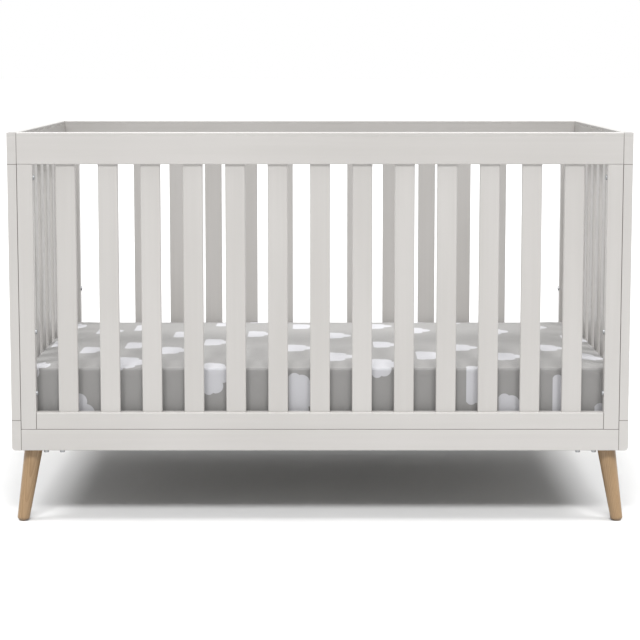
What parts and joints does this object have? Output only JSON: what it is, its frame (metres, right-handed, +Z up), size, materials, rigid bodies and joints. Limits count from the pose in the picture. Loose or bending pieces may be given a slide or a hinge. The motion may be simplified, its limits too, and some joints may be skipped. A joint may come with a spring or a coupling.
{
  "type": "baby crib",
  "caption": "Full-size baby crib with slatted painted panels, splayed turned wooden legs, an adjustable steel mattress support and a mattress in a fitted cloud-print sheet.",
  "frame": {"origin": "floor level, under the middle of the crib", "axes": "+X along the crib's length to its right seen from the front, -Y the front, +Z up"},
  "size_m": [1.372, 0.762, 0.87],
  "materials": {
    "painted_wood": "satin warm light grey paint over solid wood",
    "leg_wood": "natural oak under clear matt lacquer",
    "dowel_wood": "plain beech, unfinished",
    "bolt_steel": "zinc plated",
    "insert_brass": "plain, turned",
    "support_paint": "dark grey powder coat",
    "glide_nylon": "dark nylon",
    "mattress_ticking": "white quilted ticking",
    "sheet_cotton": "grey cotton percale printed with soft white cloud shapes"
  },
  "bodies": {
    "crib_frame": {"left_end_top_rail": "painted_wood", "left_end_bottom_rail": "painted_wood", "left_end_front_stile": "painted_wood", "left_end_back_stile": "painted_wood", "left_end_slats": "painted_wood", "right_end_top_rail": "painted_wood", "right_end_bottom_rail": "painted_wood", "right_end_front_stile": "painted_wood", "right_end_back_stile": "painted_wood", "right_end_slats": "painted_wood", "front_top_rail": "painted_wood", "front_bottom_rail": "painted_wood", "front_left_stile": "painted_wood", "front_right_stile": "painted_wood", "front_slats": "painted_wood", "front_apron": "painted_wood", "back_top_rail": "painted_wood", "back_bottom_rail": "painted_wood", "back_left_stile": "painted_wood", "back_right_stile": "painted_wood", "back_slats": "painted_wood", "back_apron": "painted_wood", "front_left_corner_block": "painted_wood", "front_right_corner_block": "painted_wood", "back_left_corner_block": "painted_wood", "back_right_corner_block": "painted_wood", "front_left_leg_block": "painted_wood", "front_right_leg_block": "painted_wood", "back_left_leg_block": "painted_wood", "back_right_leg_block": "painted_wood", "front_left_leg": "leg_wood", "front_right_leg": "leg_wood", "back_left_leg": "leg_wood", "back_right_leg": "leg_wood", "leg_hanger_bolts": "bolt_steel", "leg_block_bolts": "bolt_steel", "leg_block_washers": "bolt_steel", "corner_block_screws": "bolt_steel", "panel_bolts": "bolt_steel", "apron_bolts": "bolt_steel", "shoulder_bolts": "bolt_steel", "leg_inserts": "insert_brass", "corner_block_inserts": "insert_brass", "panel_bolt_inserts": "insert_brass", "apron_barrel_nuts": "insert_brass", "shoulder_bolt_inserts": "insert_brass", "leg_glides": "glide_nylon", "wood_dowels": "dowel_wood"},
    "mattress_support": {"support_front_tube": "support_paint", "support_back_tube": "support_paint", "support_left_tube": "support_paint", "support_right_tube": "support_paint", "support_cross_tubes": "support_paint", "support_long_wires": "support_paint", "support_cross_wires": "support_paint", "support_hook_brackets": "support_paint", "support_bracket_bolts": "bolt_steel"},
    "mattress": {"mattress": "mattress_ticking", "fitted_sheet": "sheet_cotton"}
  },
  "joints": [
    {"name": "mattress_height", "type": "slide", "parent": "crib_frame", "child": "mattress_support", "axis": [0, 0, 1], "range_m": [0, 0.17]},
    {"name": "mattress_lift", "type": "slide", "parent": "mattress_support", "child": "mattress", "axis": [0, 0, 1], "range_m": [0, 0.7]}
  ]
}
